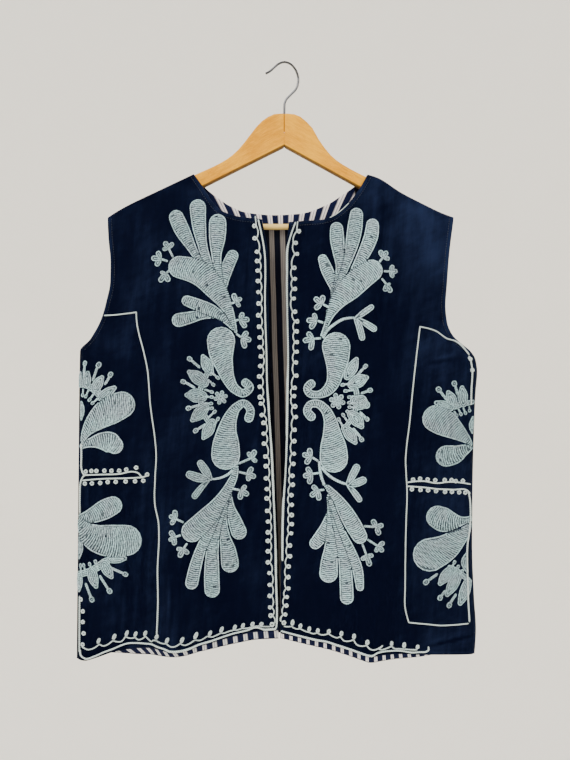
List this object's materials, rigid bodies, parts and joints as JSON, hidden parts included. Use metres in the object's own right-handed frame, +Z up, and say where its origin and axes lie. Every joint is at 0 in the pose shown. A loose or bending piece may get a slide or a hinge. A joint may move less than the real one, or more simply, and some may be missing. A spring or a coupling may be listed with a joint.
{
  "type": "embroidered waistcoat",
  "caption": "Boxy sleeveless velvet waistcoat with open front, pale folk embroidery and striped lining, hung on a wooden hanger with a wire hook.",
  "frame": {"origin": "inner crown of the hanger's hook, where it rests on a peg or rail", "axes": "+Z up, the fronts face -Y, +X to the right as seen from the front"},
  "size_m": [0.5657, 0.0539, 0.8489],
  "materials": {
    "velvet": "navy cotton velvet with a short nap",
    "stripe": "plain weave cotton striped navy and off-white",
    "wood": "clear satin varnish",
    "pale_wood": "turned dowel, clear satin varnish",
    "chrome": "polished wire"
  },
  "bodies": {
    "root": {"front_left": "velvet", "front_right": "velvet", "back_panel": "velvet", "back_lining": "stripe", "neck_facing": "stripe", "hem_band_back": "stripe", "hem_band_left": "stripe", "hem_band_right": "stripe", "hanger_arm_left": "wood", "hanger_arm_right": "wood", "hanger_bar": "pale_wood", "hanger_hook": "chrome"}
  },
  "joints": []
}
